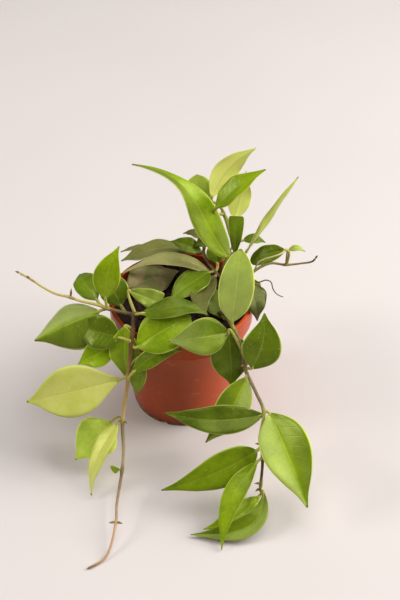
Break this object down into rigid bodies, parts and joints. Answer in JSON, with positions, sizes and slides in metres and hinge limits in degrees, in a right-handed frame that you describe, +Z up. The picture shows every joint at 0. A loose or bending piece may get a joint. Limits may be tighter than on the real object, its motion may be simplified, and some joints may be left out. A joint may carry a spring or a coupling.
{
  "type": "potted hoya plant",
  "caption": "Tapered round nursery pot of potting mix with leafy hoya stems that climb, arch over the rim and trail down to the surface it stands on.",
  "frame": {"origin": "centre of the underside of the pot's foot, on the surface the pot stands on", "axes": "+Z up along the pot's axis, -Y towards the front, where the longest stems trail down, +X to the right seen from the front"},
  "size_m": [0.2429, 0.2994, 0.2223],
  "materials": {
    "pot_plastic": "satin moulded plastic in a terracotta colour",
    "potting_mix": "loose dark bark and peat, no shine",
    "foliage": "thick waxy leaves and woody stems, soft shine",
    "foliage_olive": "older waxy leaves in olive and reddish green, soft shine"
  },
  "bodies": {
    "root": {"pot": "pot_plastic", "potting_mix": "potting_mix", "vine_front_left": "foliage", "vine_front_right": "foliage", "shoot_top": "foliage", "vine_back_rim": "foliage_olive", "shoot_right": "foliage", "leaf_on_soil": "foliage_olive", "vine_back_left": "foliage", "vine_back_right": "foliage"}
  },
  "joints": []
}
